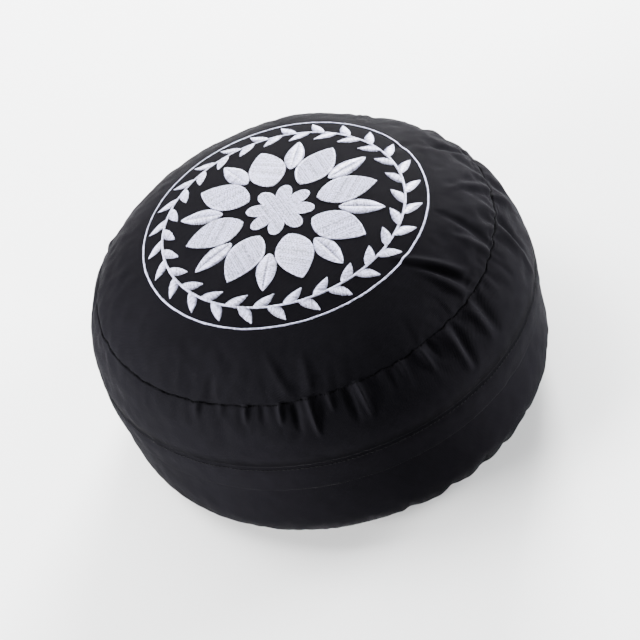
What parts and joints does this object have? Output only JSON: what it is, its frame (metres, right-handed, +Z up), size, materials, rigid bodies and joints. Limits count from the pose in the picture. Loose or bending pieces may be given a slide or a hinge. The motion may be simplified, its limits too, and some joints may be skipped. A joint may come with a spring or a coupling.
{
  "type": "meditation cushion",
  "caption": "Round floor cushion with a domed top, a gathered side band, a flap round the side and a raised silver embroidery of petals and leaves in a ring.",
  "frame": {"origin": "on the floor, under the middle of the cushion's box", "axes": "+Z up out of the top panel; +Y away from the side that the picture shows"},
  "size_m": [0.3404, 0.3454, 0.1834],
  "materials": {
    "black_twill": "matt black cotton twill",
    "silver_thread": "silver-grey embroidery thread with a soft sheen"
  },
  "bodies": {
    "root": {"cushion": "black_twill", "side_flap": "black_twill", "embroidered_ring": "silver_thread", "leaf_wreath": "silver_thread", "centre_flower": "silver_thread", "large_petal_1": "silver_thread", "large_petal_2": "silver_thread", "large_petal_3": "silver_thread", "large_petal_4": "silver_thread", "large_petal_5": "silver_thread", "large_petal_6": "silver_thread", "large_petal_7": "silver_thread", "large_petal_8": "silver_thread", "small_petal_1": "silver_thread", "small_petal_2": "silver_thread", "small_petal_3": "silver_thread", "small_petal_4": "silver_thread", "small_petal_5": "silver_thread", "small_petal_6": "silver_thread", "small_petal_7": "silver_thread", "small_petal_8": "silver_thread"}
  },
  "joints": []
}
